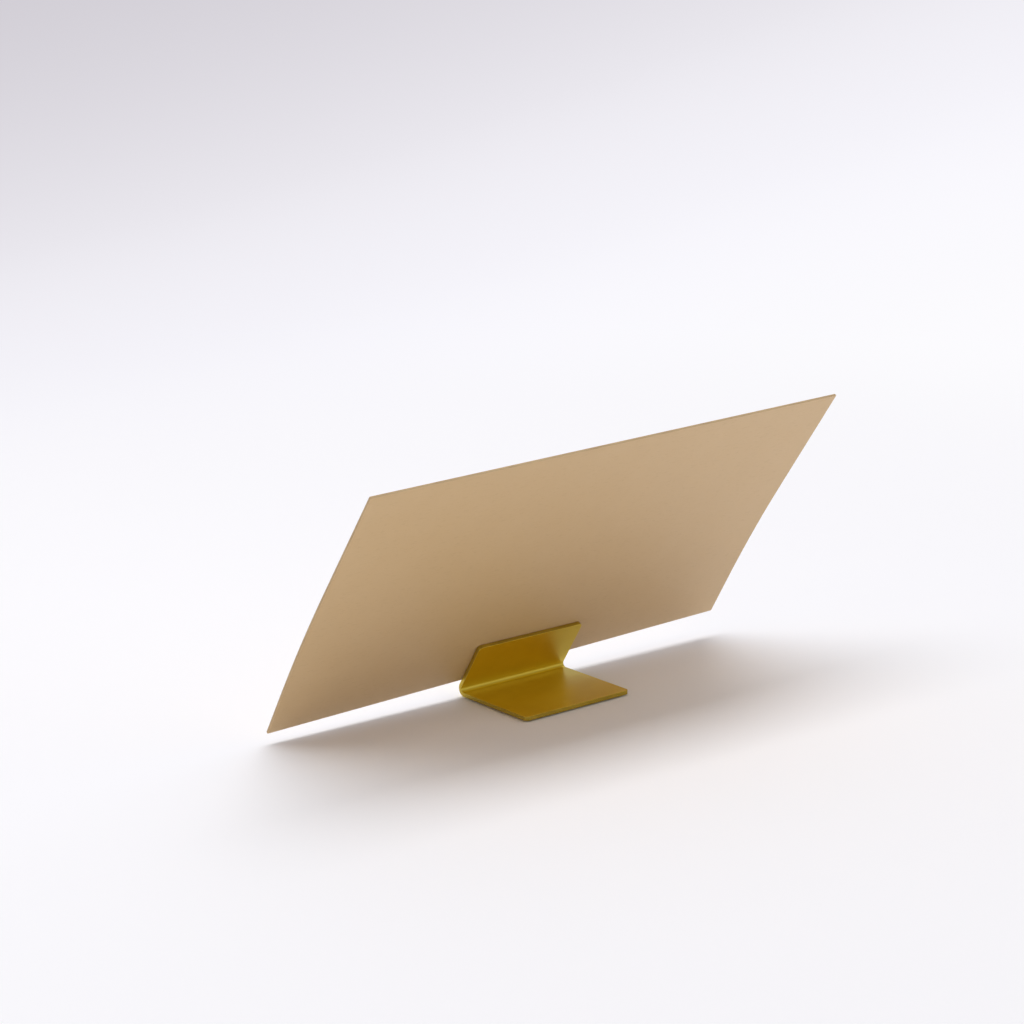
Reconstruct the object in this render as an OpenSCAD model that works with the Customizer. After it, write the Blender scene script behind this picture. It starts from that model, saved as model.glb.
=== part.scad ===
// Place card holder: a bent brass stand, a front spring leaf and the card that the two grip.
// The card's width runs along X, its front faces -Y, and the foot reaches back along +Y.
// The origin is the middle of the flat face that rests on the table.

/* [Stand] */
// Width of the stand, along the card
stand_w = 21; // [14:0.5:40]
// Thickness of the stand's sheet
stand_t = 0.65; // [0.4:0.05:1.2]
// Length of the foot, from the outside of the bend to the rear edge
foot_len = 16.5; // [12:0.1:30]
// Straight length of the back leaf, above the bend
leaf_len = 8.6; // [6:0.1:20]
// Lean of the back leaf and the card from the vertical, in degrees
lean = 32; // [10:0.5:40]
// Inside radius of the bend between the foot and the back leaf
bend_r = 0.6; // [0.3:0.05:1.5]
// Radius of the stand's four corners
stand_corner_r = 0.7; // [0.2:0.1:3]

/* [Front spring leaf] */
// Width of the spring leaf
spring_w = 18; // [8:0.5:38]
// Thickness of the spring leaf's sheet
spring_t = 0.2; // [0.1:0.05:0.4]
// How far the soldered flange stops short of the stand's rear edge
flange_setback = 1.9; // [0.5:0.1:6]
// Thickness of the solder film between the two sheets
solder_film = 0.03; // [0.01:0.01:0.1]
// Angle by which the pocket narrows below the card, in degrees
pocket_taper = 22; // [14:0.5:30]
// Inside radius of the bend at the top of the pocket
pocket_r = 0.25; // [0.1:0.05:0.6]
// Straight length of the spring leaf that lies along the card
grip_len = 5.6; // [3:0.1:16]
// Outward turn of the lip that leads the card in, in degrees
lip_angle = 20; // [5:1:40]
// Inside radius of the lip's bend
lip_r = 1; // [0.3:0.1:3]
// Straight length of the lip, after its bend
lip_len = 0.9; // [0.7:0.1:3]
// Radius of the spring leaf's four corners
spring_corner_r = 0.6; // [0.2:0.1:0.7]

/* [Card] */
// Width of the card
card_w = 88.9; // [60:0.1:120]
// Height of the card, along its surface
card_h = 50.8; // [36:0.1:80]
// Thickness of the card
card_t = 0.4; // [0.2:0.05:0.8]
// Clearance between the card and each leaf
card_clearance = 0.03; // [0.02:0.01:0.1]
// Angle through which the card curls back above the leaves, in degrees
card_curl = 4.2; // [1:0.2:20]
// Length of card that curls, above the leaves
card_curl_len = 22; // [5:0.5:24]
// How far the card's middle stands off the stand's middle, along X
card_shift = 2.1; // [-10:0.1:10]
// Turn of the card in its own plane, in degrees: its -X end stands higher
card_tilt = 2; // [-4:0.5:4]

/* [Hidden] */
// Facets of each bend of a sheet, and of a full turn at its round corners
BEND_FACETS = 24;
CORNER_FN = 96;

// Outside of the stand's bend, and the spring leaf's bend nested round it
bend_out_r = bend_r + stand_t;
nest_r = bend_out_r + solder_film;

// Turn from the flat foot up to the back leaf
leaf_turn = 90 + lean;

// The flats behind the bend, and the height of the stand's underside
foot_flat = foot_len - bend_out_r;
flange_flat = foot_flat - flange_setback;
foot_z = spring_t + solder_film;

// The slot, and the straight web that opens the pocket out to it
slot = card_t + 2 * card_clearance;
web_len = (bend_out_r + slot - nest_r * cos(pocket_taper) - pocket_r * (1 - cos(pocket_taper)))
    / sin(pocket_taper);

// Height along the leaf at which the pocket is as wide as the slot: the card stops there
card_seat = web_len * cos(pocket_taper) - (nest_r - pocket_r) * sin(pocket_taper);

// The turned card stands on one side of the pocket, so its middle is higher than its seat
card_rise = tan(abs(card_tilt)) * spring_w / 2 - tan(card_tilt) * card_shift;

// The card is flat between the leaves, curls above them, and is flat again to its top
card_grip = max(leaf_len - card_seat, grip_len) + tan(abs(card_tilt)) * abs(stand_w - spring_w) / 2;
card_top = card_h - card_grip - card_curl_len;
curl_r = card_curl_len / card_curl * 180 / PI - card_t / 2;

// Sections are drawn in [forward, up] coordinates, with the bend's centre ahead of the origin
bend_at = [flange_flat / 2, foot_z + bend_out_r];
foot_start = [bend_at[0] - foot_flat, foot_z];
flange_start = [bend_at[0] - flange_flat, 0];
card_start = bend_at + (card_seat + card_rise) * heading(leaf_turn)
    - (bend_out_r + card_clearance + card_t) * upward(leaf_turn);

// Each step of a folded sheet is [straight length, turn after it, inside radius of the turn]
stand_steps = [
    [foot_flat, leaf_turn, bend_r],
    [leaf_len, 0, 0],
];
spring_steps = [
    [flange_flat, leaf_turn - pocket_taper, nest_r],
    [web_len, pocket_taper, pocket_r],
    [grip_len, -lip_angle, lip_r],
    [lip_len, 0, 0],
];
card_steps = [
    [card_grip, card_curl, curl_r],
    [card_top, 0, 0],
];

BRASS = [0.80, 0.62, 0.25];
SPRING_BRASS = [0.84, 0.68, 0.34];
TAN = [0.80, 0.68, 0.54];

// Unit vectors along a sheet that has turned by an angle, and up from its lower face
function heading(angle) = [cos(angle), sin(angle)];
function upward(angle) = [-sin(angle), cos(angle)];

// A list back to front
function reversed(list) = [for (i = [len(list) - 1 : -1 : 0]) list[i]];

// From a bend's centre to the sheet's lower face: positive where the sheet turns down
function swing(turn, r, t) = turn > 0 ? -t - r : r;

// The points along a folded sheet at a height above its lower face
function sheet_line(steps, t, height, at, angle, i = 0) =
    i == len(steps) ? [] :
    let (
        run_end = at + steps[i][0] * heading(angle),
        turn = steps[i][1],
        radius = swing(turn, steps[i][2], t),
        centre = run_end - radius * upward(angle),
        next_angle = angle + turn
    )
    concat(
        i == 0 ? [at + height * upward(angle)] : [],
        [run_end + height * upward(angle)],
        turn == 0 ? [] : [
            for (k = [1 : BEND_FACETS])
                centre + (radius + height) * upward(angle + turn * k / BEND_FACETS)
        ],
        sheet_line(steps, t, height, centre + radius * upward(next_angle), next_angle, i + 1)
    );

// The direction of a folded sheet at its far end
function end_angle(steps, angle) = angle + [for (step = steps) step[1]] * [for (step = steps) 1];

// Cuts the two corners of a sheet's end round: the sheet runs from there at the given angle
module corner_cuts(at, angle, w, t, r) {
    translate([0, -at[0], at[1]]) rotate([180 - angle, 0, 0]) linear_extrude(6 * t, center = true)
        for (side = [0, 1]) mirror([side, 0]) translate([w / 2 - r, r]) difference() {
            translate([0, -2 * r]) square(2 * r);
            circle(r, $fn = CORNER_FN);
        }
}

// A folded sheet of one width, with all four of its corners rounded by r
module folded_sheet(steps, w, t, at, angle = 0, r = 0) {
    lower = sheet_line(steps, t, 0, at, angle);
    upper = sheet_line(steps, t, t, at, angle);
    difference() {
        rotate([90, 0, -90]) linear_extrude(w, center = true) polygon(concat(lower, reversed(upper)));
        if (r > 0) {
            corner_cuts(at, angle, w, t, r);
            corner_cuts(lower[len(lower) - 1], end_angle(steps, angle) + 180, w, t, r);
        }
    }
}

module stand() {
    color(BRASS) folded_sheet(stand_steps, stand_w, stand_t, foot_start, r = stand_corner_r);
}

module front_spring_leaf() {
    color(SPRING_BRASS) folded_sheet(spring_steps, spring_w, spring_t, flange_start, r = spring_corner_r);
}

module place_card() {
    color(TAN) translate([card_shift, -card_start[0], card_start[1]])
        rotate(card_tilt, [0, cos(lean), -sin(lean)])
        folded_sheet(card_steps, card_w, card_t, [0, 0], leaf_turn);
}

stand();
front_spring_leaf();
place_card();
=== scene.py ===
"""Looks of the place card holder: a brass stand, its spring leaf and a tan card on a pale table."""

import math

import bmesh
import bpy
from mathutils import Matrix, Vector


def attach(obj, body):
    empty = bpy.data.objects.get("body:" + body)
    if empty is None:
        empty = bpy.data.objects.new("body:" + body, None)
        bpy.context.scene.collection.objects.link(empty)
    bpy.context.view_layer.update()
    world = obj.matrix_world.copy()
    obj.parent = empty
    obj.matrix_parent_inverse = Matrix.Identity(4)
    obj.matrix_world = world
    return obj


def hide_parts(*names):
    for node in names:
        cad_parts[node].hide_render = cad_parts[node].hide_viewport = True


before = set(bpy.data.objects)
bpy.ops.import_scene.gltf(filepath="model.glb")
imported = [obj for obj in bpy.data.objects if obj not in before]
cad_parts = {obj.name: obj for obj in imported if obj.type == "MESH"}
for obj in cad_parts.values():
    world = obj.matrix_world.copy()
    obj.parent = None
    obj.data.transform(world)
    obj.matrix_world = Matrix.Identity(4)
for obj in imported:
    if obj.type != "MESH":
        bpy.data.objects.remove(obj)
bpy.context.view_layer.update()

MM = 0.001
ACROSS = Vector((1, 0, 0))

# Stand
STAND_W = 21 * MM
STAND_T = 0.65 * MM
FOOT_LEN = 16.5 * MM
LEAF_LEN = 8.6 * MM
LEAN = math.radians(32)
BEND_R = 0.6 * MM
STAND_CORNER_R = 0.7 * MM
STAND_EDGE_R = 0.05 * MM

# Front spring leaf
SPRING_W = 18 * MM
SPRING_T = 0.2 * MM
FLANGE_SETBACK = 1.9 * MM
SOLDER_FILM = 0.03 * MM
POCKET_TAPER = math.radians(22)
POCKET_R = 0.25 * MM
GRIP_LEN = 5.6 * MM
LIP_ANGLE = math.radians(20)
LIP_R = 1 * MM
LIP_LEN = 0.9 * MM
SPRING_CORNER_R = 0.6 * MM
SPRING_EDGE_R = 0.03 * MM

# Card
CARD_W = 88.9 * MM
CARD_H = 50.8 * MM
CARD_T = 0.4 * MM
CARD_CLEARANCE = 0.03 * MM
CARD_CURL = math.radians(4.2)
CARD_CURL_LEN = 22 * MM
CARD_SHIFT = 2.1 * MM
CARD_TILT = math.radians(2)
CARD_CORNER_R = 0.06 * MM
CARD_EDGE_R = 0.05 * MM

# Places that follow from those sizes, measured in the section through the bend
BEND_OUT_R = BEND_R + STAND_T
NEST_R = BEND_OUT_R + SOLDER_FILM
LEAF_TURN = math.radians(90) + LEAN
FOOT_FLAT = FOOT_LEN - BEND_OUT_R
FLANGE_FLAT = FOOT_FLAT - FLANGE_SETBACK
FOOT_Z = SPRING_T + SOLDER_FILM
BEND_CENTRE = Vector((0, -FLANGE_FLAT / 2, FOOT_Z + BEND_OUT_R))
SLOT = CARD_T + 2 * CARD_CLEARANCE
WEB_RISE = BEND_OUT_R + SLOT - NEST_R * math.cos(POCKET_TAPER) - POCKET_R * (1 - math.cos(POCKET_TAPER))
WEB_LEN = WEB_RISE / math.sin(POCKET_TAPER)
CARD_SEAT = WEB_LEN * math.cos(POCKET_TAPER) - (NEST_R - POCKET_R) * math.sin(POCKET_TAPER)
CARD_RISE = math.tan(CARD_TILT) * (SPRING_W / 2 - CARD_SHIFT)
CARD_GRIP = LEAF_LEN - CARD_SEAT + math.tan(CARD_TILT) * (STAND_W - SPRING_W) / 2
CARD_TOP = CARD_H - CARD_GRIP - CARD_CURL_LEN
CURL_R = CARD_CURL_LEN / CARD_CURL - CARD_T / 2

# Facets of each bend, round corner and softened edge
BEND_FACETS = 24
CORNER_FACETS = 8
EDGE_FACETS = 3
ROUND_PROFILE = 0.5
FINISH_OF_NEIGHBOURS = -1

# What tells a sheet's cut sides, corners and rims apart
EQUAL_SHARE = 0.001
SHARP_ANGLE = math.radians(60)
SIDE_FACING = 0.9

# How noise spreads over a number or a colour, and how fine it is
NOISE_LOW = 0.25
NOISE_HIGH = 0.75
TONE_LOW = 0.3
TONE_HIGH = 0.7
CLOUD_DETAIL = 3.0

# Brass, with noise in features per metre along each axis
TARNISH_CLOUDS = (190, 190, 190)
WIPED_PATCHES = (90, 420, 420)
MARK_DETAIL = 5.0
MARK_STRENGTH = 0.6

# Card stock, with noise in features per metre along each axis
CARD_SHEEN = 0.75
PULP_CLOUDS = (260, 260, 260)
PULP_DETAIL = 4.0
FIBRE_FLECKS = (900, 3600, 3600)
FLECK_DETAIL = 2.0
FLECK_SHADE = (0.955, 0.945, 0.93, 1)
FLECK_REACH = 0.42
NO_SHADE = (1, 1, 1, 1)
CARD_TOOTH = (5200, 5200, 5200)
CARD_GRAIN = (2400, 6000, 6000)
GRAIN_DEPTH = 0.01 * MM
GRAIN_STRENGTH = 0.4

# Camera, as the card's edges and the foot place it in the photograph
CAMERA_AZIMUTH = math.radians(140.439)
CAMERA_ELEVATION = math.radians(14.404)
CAMERA_DISTANCE = 417.64 * MM
CAMERA_AIM = Vector((-1.647, -9.567, 27.468)) * MM
CAMERA_LENS = 93.47

# Table, in metres
TABLE_R = 3.0
TABLE_SIDES = 96
TABLE_WHITE = (0.95, 0.94, 0.962, 1)
TABLE_SHADE = (0.938, 0.928, 0.95, 1)
TABLE_CLOUDS = (3, 3, 3)
TABLE_ROUGHNESS = 0.7
TABLE_GLOSS = 0.05

# Far table, a glow of painted light that dims away from the camera: the distances over which it takes
# over, the way it falls, and its painted tones
FAR_TABLE_START = 0.11
FAR_TABLE_END = 0.32
FAR_TABLE_FALL = (0, -1, 0)
FAR_TABLE_NEAR = 0.3
FAR_TABLE_PAINTED_LIGHT = (
    (0.28, (0.97, 0.963, 0.99, 1)),
    (0.44, (0.928, 0.918, 0.968, 1)),
    (0.58, (0.818, 0.80, 0.85, 1)),
    (0.78, (0.64, 0.615, 0.665, 1)),
)

# Light, in metres and watts
KEY_PLACE = Vector((0.10, -0.10, 0.80))
KEY_SIZE = (1.40, 0.36)
KEY_POWER = 5.1
FILL_PLACE = Vector((0.0, 0.40, 0.80))
FILL_SIZE = (1.10, 0.20)
FILL_POWER = 0.6
BACKDROP_PALE = (0.70, 0.68, 0.725, 1)
BACKDROP_TOP = (0.12, 0.117, 0.124, 1)
ROOM_COLOUR = (0.97, 0.97, 1.0, 1)
ROOM_LEAST = 0.03
ROOM_SIDES = 0.71
ROOM_RIGHT = 0.27
ROOM_FRONT = 0.62


def heading(angle):
    """Direction along a sheet that has turned up by an angle from running forward."""
    return Vector((0, -math.cos(angle), math.sin(angle)))


def upward(angle):
    """Direction out of the upper face of a sheet that has turned by an angle."""
    return Vector((0, math.sin(angle), math.cos(angle)))


def placed(name, data):
    """A new object in the scene, at the origin."""
    thing = bpy.data.objects.new(name, data)
    bpy.context.scene.collection.objects.link(thing)
    return thing


def placed_mesh(name, bm):
    """A new mesh object in the scene, at the origin."""
    mesh = bpy.data.meshes.new(name)
    bm.to_mesh(mesh)
    bm.free()
    return placed(name, mesh)


def draw_run(bm, end, length, angle):
    """Draws a sheet's end straight on and returns its new end."""
    drawn = bmesh.ops.extrude_face_region(bm, geom=[end])["geom"]
    moved = [g for g in drawn if isinstance(g, bmesh.types.BMVert)]
    bmesh.ops.translate(bm, vec=length * heading(angle), verts=moved)
    return next(g for g in drawn if isinstance(g, bmesh.types.BMFace))


def turn_bend(bm, end, turn, inside_r, thickness, angle):
    """Turns a sheet's end about the bend's centre line and returns its new end."""
    to_centre = math.copysign(inside_r + thickness / 2, turn)
    spun = bmesh.ops.spin(
        bm,
        geom=[end],
        cent=end.calc_center_median() + to_centre * upward(angle),
        axis=-ACROSS,
        angle=turn,
        steps=BEND_FACETS,
    )
    return next(g for g in spun["geom_last"] if isinstance(g, bmesh.types.BMFace))


def sharp_edges(bm):
    """Edges between a sheet's faces and its cut sides, and between two cut sides."""
    return [e for e in bm.edges if e.calc_face_angle() > SHARP_ANGLE]


def round_off(bm, edges, radius, facets):
    """Rounds edges off to a radius."""
    bmesh.ops.bevel(
        bm,
        geom=edges,
        offset=radius,
        affect="EDGES",
        segments=facets,
        profile=ROUND_PROFILE,
        material=FINISH_OF_NEIGHBOURS,
    )


def folded_sheet(name, steps, width, thickness, start, angle, corner_r, edge_r):
    """A folded sheet with round corners and softened edges, its cut edges in the second material.
    Each step is a straight length, the turn after it and that turn's inside radius."""
    bm = bmesh.new()
    # A square of side 1, scaled to the sheet's first cut end
    bmesh.ops.create_grid(bm, x_segments=1, y_segments=1, size=1 / 2)
    bmesh.ops.scale(bm, vec=(width, thickness, 1), verts=bm.verts)
    stand_up = Matrix((ACROSS, upward(angle), heading(angle))).transposed()
    bmesh.ops.rotate(bm, matrix=stand_up, verts=bm.verts)
    bmesh.ops.translate(bm, vec=start + thickness / 2 * upward(angle), verts=bm.verts)
    ends = [next(iter(bm.faces))]
    for length, turn, inside_r in steps:
        ends.append(draw_run(bm, ends[-1], length, angle))
        if turn:
            ends.append(turn_bend(bm, ends[-1], turn, inside_r, thickness, angle))
            angle += turn
    bmesh.ops.delete(bm, geom=ends[1:-1], context="FACES_ONLY")
    bmesh.ops.remove_doubles(bm, verts=bm.verts, dist=thickness * EQUAL_SHARE)
    bmesh.ops.recalc_face_normals(bm, faces=bm.faces)
    for face in bm.faces:
        cut_end = math.isclose(face.calc_area(), width * thickness, rel_tol=EQUAL_SHARE)
        face.material_index = int(cut_end or abs(face.normal.x) > SIDE_FACING)
    corners = [e for e in sharp_edges(bm) if math.isclose(e.calc_length(), thickness, rel_tol=EQUAL_SHARE)]
    round_off(bm, corners, corner_r, CORNER_FACETS)
    round_off(bm, sharp_edges(bm), edge_r, EDGE_FACETS)
    bmesh.ops.recalc_face_normals(bm, faces=bm.faces)
    for face in bm.faces:
        face.smooth = True
    piece = placed_mesh(name, bm)
    piece.modifiers.new("flat faces stay flat", "WEIGHTED_NORMAL")
    return piece


def brass_stand():
    """Foot, bend and back leaf, drawn from the foot's free end."""
    return folded_sheet(
        "brass_stand",
        steps=[(FOOT_FLAT, LEAF_TURN, BEND_R), (LEAF_LEN, 0, 0)],
        width=STAND_W,
        thickness=STAND_T,
        start=BEND_CENTRE + Vector((0, FOOT_FLAT, -BEND_OUT_R)),
        angle=0.0,
        corner_r=STAND_CORNER_R,
        edge_r=STAND_EDGE_R,
    )


def front_leaf():
    """Flange under the foot, pocket, grip and lip, drawn from the flange's free end."""
    return folded_sheet(
        "front_leaf",
        steps=[
            (FLANGE_FLAT, LEAF_TURN - POCKET_TAPER, NEST_R),
            (WEB_LEN, POCKET_TAPER, POCKET_R),
            (GRIP_LEN, -LIP_ANGLE, LIP_R),
            (LIP_LEN, 0, 0),
        ],
        width=SPRING_W,
        thickness=SPRING_T,
        start=Vector((0, FLANGE_FLAT / 2, 0)),
        angle=0.0,
        corner_r=SPRING_CORNER_R,
        edge_r=SPRING_EDGE_R,
    )


def tan_card():
    """Card drawn from its lower edge, curled back above the grip and turned in its own plane."""
    start = (
        CARD_SHIFT * ACROSS
        + BEND_CENTRE
        + (CARD_SEAT + CARD_RISE) * heading(LEAF_TURN)
        - (BEND_OUT_R + CARD_CLEARANCE + CARD_T) * upward(LEAF_TURN)
    )
    card = folded_sheet(
        "tan_card",
        steps=[(CARD_GRIP, CARD_CURL, CURL_R), (CARD_TOP, 0, 0)],
        width=CARD_W,
        thickness=CARD_T,
        start=start,
        angle=LEAF_TURN,
        corner_r=CARD_CORNER_R,
        edge_r=CARD_EDGE_R,
    )
    turned = Matrix.Rotation(CARD_TILT, 4, upward(LEAF_TURN))
    card.data.transform(Matrix.Translation(start) @ turned @ Matrix.Translation(-start))
    return card


def new_finish(name):
    """A new material, with its node tree, its shader and its Object coordinates."""
    finish = bpy.data.materials.new(name)
    finish.use_nodes = True
    tree = finish.node_tree
    place = tree.nodes.new("ShaderNodeTexCoord").outputs["Object"]
    return finish, tree, tree.nodes["Principled BSDF"], place


def feed(tree, value, socket):
    """Links a socket to another node's output, or sets it to a constant."""
    if isinstance(value, bpy.types.NodeSocket):
        tree.links.new(value, socket)
    else:
        socket.default_value = value


def maths(tree, operation, *values, kind="ShaderNodeMath"):
    """The number that an operation makes of outputs and constants."""
    node = tree.nodes.new(kind)
    node.operation = operation
    for value, socket in zip(values, node.inputs):
        feed(tree, value, socket)
    return node.outputs["Value"]


def noise(tree, place, scale, detail=CLOUD_DETAIL):
    """Noise on a piece, with so many features per metre along each axis."""
    mapping = tree.nodes.new("ShaderNodeMapping")
    mapping.inputs["Scale"].default_value = scale
    tree.links.new(place, mapping.inputs["Vector"])
    texture = tree.nodes.new("ShaderNodeTexNoise")
    texture.inputs["Scale"].default_value = 1.0
    texture.inputs["Detail"].default_value = detail
    tree.links.new(mapping.outputs["Vector"], texture.inputs["Vector"])
    return texture.outputs["Fac"]


def between(tree, amount, low, high):
    """A number that goes from low to high as the noise does."""
    spread = tree.nodes.new("ShaderNodeMapRange")
    spread.inputs["From Min"].default_value = NOISE_LOW
    spread.inputs["From Max"].default_value = NOISE_HIGH
    spread.inputs["To Min"].default_value = low
    spread.inputs["To Max"].default_value = high
    tree.links.new(amount, spread.inputs["Value"])
    return spread.outputs["Result"]


def ramp(tree, amount, stops, interpolation="LINEAR"):
    """A colour that goes through the stops, each a position and a colour, as an amount grows."""
    node = tree.nodes.new("ShaderNodeValToRGB")
    node.color_ramp.interpolation = interpolation
    elements = node.color_ramp.elements
    elements.remove(elements[1])
    elements[0].position, elements[0].color = stops[0]
    for position, colour in stops[1:]:
        elements.new(position).color = colour
    tree.links.new(amount, node.inputs["Fac"])
    return node.outputs["Color"]


def tone(tree, amount, low, high, reach=TONE_HIGH):
    """A colour that goes from low to high as the noise goes up to its reach."""
    return ramp(tree, amount, ((TONE_LOW, low), (reach, high)))


def relief(tree, shader, height, depth, strength):
    """Fine relief of a surface, of a depth in metres."""
    bump = tree.nodes.new("ShaderNodeBump")
    bump.inputs["Distance"].default_value = depth
    bump.inputs["Strength"].default_value = strength
    tree.links.new(height, bump.inputs["Height"])
    tree.links.new(bump.outputs["Normal"], shader.inputs["Normal"])


def in_sight(tree):
    """1 where the camera looks, directly or by a reflection, and 0 where only light is gathered."""
    path = tree.nodes.new("ShaderNodeLightPath")
    return maths(tree, "MAXIMUM", path.outputs["Is Camera Ray"], path.outputs["Is Glossy Ray"])


def show(tree, amount, first, second, output):
    """Ends a node tree in a mix of two shaders, by an amount of the second."""
    mix = tree.nodes.new("ShaderNodeMixShader")
    for value, socket in zip((amount, first, second), mix.inputs):
        tree.links.new(value, socket)
    tree.links.new(mix.outputs["Shader"], tree.nodes[output].inputs["Surface"])


def brass(name, light, deep, smooth, dull, rub, mark_depth):
    """Brass: faint tarnish clouds, an uneven polish and fine rubbing marks."""
    finish, tree, shader, place = new_finish(name)
    shader.inputs["Metallic"].default_value = 1.0
    clouds = noise(tree, place, TARNISH_CLOUDS)
    tree.links.new(tone(tree, clouds, deep, light), shader.inputs["Base Color"])
    wiped = noise(tree, place, WIPED_PATCHES)
    tree.links.new(between(tree, wiped, smooth, dull), shader.inputs["Roughness"])
    marks = noise(tree, place, rub, MARK_DETAIL)
    relief(tree, shader, marks, mark_depth, MARK_STRENGTH)
    return finish


def card_stock(name, light, deep, smooth, dull):
    """Card: pulp clouds, sparse darker flecks of fibre, a fine tooth and a grain."""
    finish, tree, shader, place = new_finish(name)
    shader.inputs["Specular IOR Level"].default_value = CARD_SHEEN
    pulp = noise(tree, place, PULP_CLOUDS, PULP_DETAIL)
    flecks = noise(tree, place, FIBRE_FLECKS, FLECK_DETAIL)
    fibred = tree.nodes.new("ShaderNodeMixRGB")
    fibred.blend_type = "MULTIPLY"
    fibred.inputs["Fac"].default_value = 1.0
    tree.links.new(tone(tree, pulp, deep, light), fibred.inputs["Color1"])
    tree.links.new(tone(tree, flecks, FLECK_SHADE, NO_SHADE, FLECK_REACH), fibred.inputs["Color2"])
    tree.links.new(fibred.outputs["Color"], shader.inputs["Base Color"])
    tooth = noise(tree, place, CARD_TOOTH, PULP_DETAIL)
    tree.links.new(between(tree, tooth, smooth, dull), shader.inputs["Roughness"])
    grain = noise(tree, place, CARD_GRAIN, PULP_DETAIL)
    relief(tree, shader, grain, GRAIN_DEPTH, GRAIN_STRENGTH)
    return finish


def white_table():
    """White under the light; far off, where the camera and the brass see it, a glow of painted light that
    dims to pale grey away from the camera.
    """
    finish, tree, shader, place = new_finish("white_table")
    shader.inputs["Roughness"].default_value = TABLE_ROUGHNESS
    shader.inputs["Specular IOR Level"].default_value = TABLE_GLOSS
    clouds = noise(tree, place, TABLE_CLOUDS)
    tree.links.new(tone(tree, clouds, TABLE_SHADE, TABLE_WHITE), shader.inputs["Base Color"])
    # The share of the way out that runs along the fall, made less near the object
    fall = maths(tree, "DOT_PRODUCT", place, FAR_TABLE_FALL, kind="ShaderNodeVectorMath")
    away = maths(tree, "LENGTH", place, kind="ShaderNodeVectorMath")
    fallen = maths(tree, "DIVIDE", fall, maths(tree, "ADD", away, FAR_TABLE_NEAR))
    # Painted light: far off, the table glows, dimming away from the camera as the light on it would fall
    # off
    painted_far_glow = tree.nodes.new("ShaderNodeEmission")
    tree.links.new(ramp(tree, fallen, FAR_TABLE_PAINTED_LIGHT, "CARDINAL"), painted_far_glow.inputs["Color"])
    how_far = tree.nodes.new("ShaderNodeMapRange")
    how_far.interpolation_type = "SMOOTHSTEP"
    how_far.inputs["From Min"].default_value = FAR_TABLE_START
    how_far.inputs["From Max"].default_value = FAR_TABLE_END
    tree.links.new(away, how_far.inputs["Value"])
    far_in_sight = maths(tree, "MULTIPLY", how_far.outputs["Result"], in_sight(tree))
    show(tree, far_in_sight, shader.outputs["BSDF"], painted_far_glow.outputs["Emission"], "Material Output")
    return finish


def soft_lamp(name, place, size, power):
    """A wide lamp that shines straight down."""
    light = bpy.data.lights.new(name, "AREA")
    light.shape = "RECTANGLE"
    light.size, light.size_y = size
    light.energy = power
    placed(name, light).location = place


def soft_room():
    """Soft light from both sides, most from the camera's right, and from the card's front.
    The camera and the brass see a pale backdrop instead."""
    room = bpy.data.worlds.new("room")
    room.use_nodes = True
    tree = room.node_tree
    direction = tree.nodes.new("ShaderNodeTexCoord").outputs["Generated"]
    axes = tree.nodes.new("ShaderNodeSeparateXYZ")
    tree.links.new(direction, axes.inputs["Vector"])
    x, y, z = axes.outputs
    from_sides = maths(tree, "MULTIPLY_ADD", maths(tree, "ABSOLUTE", x), ROOM_SIDES, ROOM_LEAST)
    more_from_right = maths(tree, "MULTIPLY_ADD", x, -ROOM_RIGHT, from_sides)
    from_front = maths(tree, "MINIMUM", y, 0.0)
    room_light = maths(tree, "MULTIPLY_ADD", from_front, -ROOM_FRONT, more_from_right)
    lit_room = tree.nodes["Background"]
    lit_room.inputs["Color"].default_value = ROOM_COLOUR
    tree.links.new(room_light, lit_room.inputs["Strength"])
    backdrop = tree.nodes.new("ShaderNodeBackground")
    backdrop_tone = ramp(tree, z, ((0.0, BACKDROP_PALE), (1.0, BACKDROP_TOP)))
    tree.links.new(backdrop_tone, backdrop.inputs["Color"])
    lit = lit_room.outputs["Background"]
    seen = backdrop.outputs["Background"]
    show(tree, in_sight(tree), lit, seen, "World Output")
    return room


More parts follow.
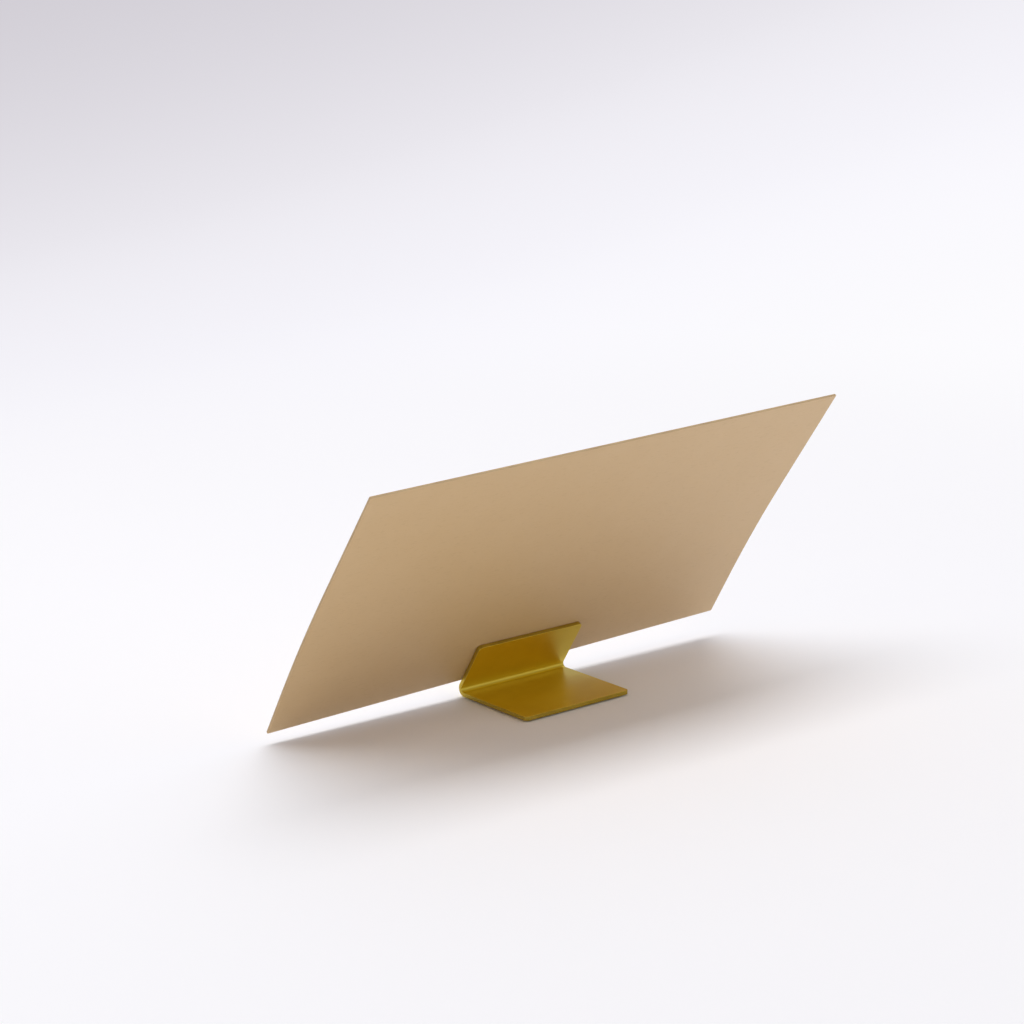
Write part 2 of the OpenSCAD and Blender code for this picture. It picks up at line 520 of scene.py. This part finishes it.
# Finishes
POLISHED_BRASS = brass(
    "polished_brass",
    light=(0.81, 0.63, 0.088, 1),
    deep=(0.77, 0.585, 0.068, 1),
    smooth=0.29,
    dull=0.36,
    rub=(700, 14000, 14000),
    mark_depth=0.0004 * MM,
)
# Sheared edges: darker than the faces, partly the duller tone of sheared brass and partly painted shade
# where the edges meet the card and the table
SHEARED_BRASS_AND_EDGE_SHADE = brass(
    "sheared_brass_and_edge_shade",
    light=(0.55, 0.405, 0.056, 1),
    deep=(0.43, 0.31, 0.043, 1),
    smooth=0.36,
    dull=0.48,
    rub=(9000, 9000, 2500),
    mark_depth=0.004 * MM,
)
SPRING_BRASS = brass(
    "spring_brass",
    light=(0.84, 0.66, 0.14, 1),
    deep=(0.80, 0.61, 0.11, 1),
    smooth=0.20,
    dull=0.28,
    rub=(14000, 700, 700),
    mark_depth=0.0008 * MM,
)
CARD_STOCK = card_stock(
    "card_stock",
    light=(0.725, 0.505, 0.26, 1),
    deep=(0.715, 0.494, 0.25, 1),
    smooth=0.42,
    dull=0.54,
)
# Cut card edges: darker than the face, partly the raw cut's own tone and partly painted shade on the top
# edge, where the light from above falls
CUT_CARD_AND_EDGE_SHADE = card_stock(
    "cut_card_and_edge_shade",
    light=(0.57, 0.40, 0.215, 1),
    deep=(0.49, 0.335, 0.18, 1),
    smooth=0.85,
    dull=0.95,
)

# The pieces, each with the finish of its faces, the darker finish of its cut edges (partly painted shade),
# its body, its CAD node and its slot
for piece, face_finish, edge_finish_and_shade, body, node, slot in (
    (brass_stand(), POLISHED_BRASS, SHEARED_BRASS_AND_EDGE_SHADE, "clip", "stand", "polished_brass"),
    (front_leaf(), SPRING_BRASS, SHEARED_BRASS_AND_EDGE_SHADE, "clip", "front_spring_leaf", "spring_brass"),
    (tan_card(), CARD_STOCK, CUT_CARD_AND_EDGE_SHADE, "card", "place_card", "card_stock"),
):
    piece.data.materials.append(face_finish)
    piece.data.materials.append(edge_finish_and_shade)
    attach(piece, body)
    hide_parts(node)

# Table top
table_bm = bmesh.new()
bmesh.ops.create_circle(table_bm, cap_ends=True, segments=TABLE_SIDES, radius=TABLE_R)
table_top = placed_mesh("table_top", table_bm)
table_top.data.materials.append(white_table())

# Light from above, a little towards the card's front, weaker light above the camera's side, and the room
soft_lamp("key", KEY_PLACE, KEY_SIZE, KEY_POWER)
soft_lamp("fill", FILL_PLACE, FILL_SIZE, FILL_POWER)
bpy.context.scene.world = soft_room()

# Camera
camera = bpy.data.cameras.new("camera")
camera.lens = CAMERA_LENS
camera_stand = placed("camera", camera)
back = Vector((
    math.sin(CAMERA_AZIMUTH) * math.cos(CAMERA_ELEVATION),
    -math.cos(CAMERA_AZIMUTH) * math.cos(CAMERA_ELEVATION),
    math.sin(CAMERA_ELEVATION),
))
camera_stand.location = CAMERA_AIM + CAMERA_DISTANCE * back
camera_stand.rotation_euler = (-back).to_track_quat("-Z", "Y").to_euler()
bpy.context.scene.camera = camera_stand
bpy.context.scene.view_settings.view_transform = "Standard"
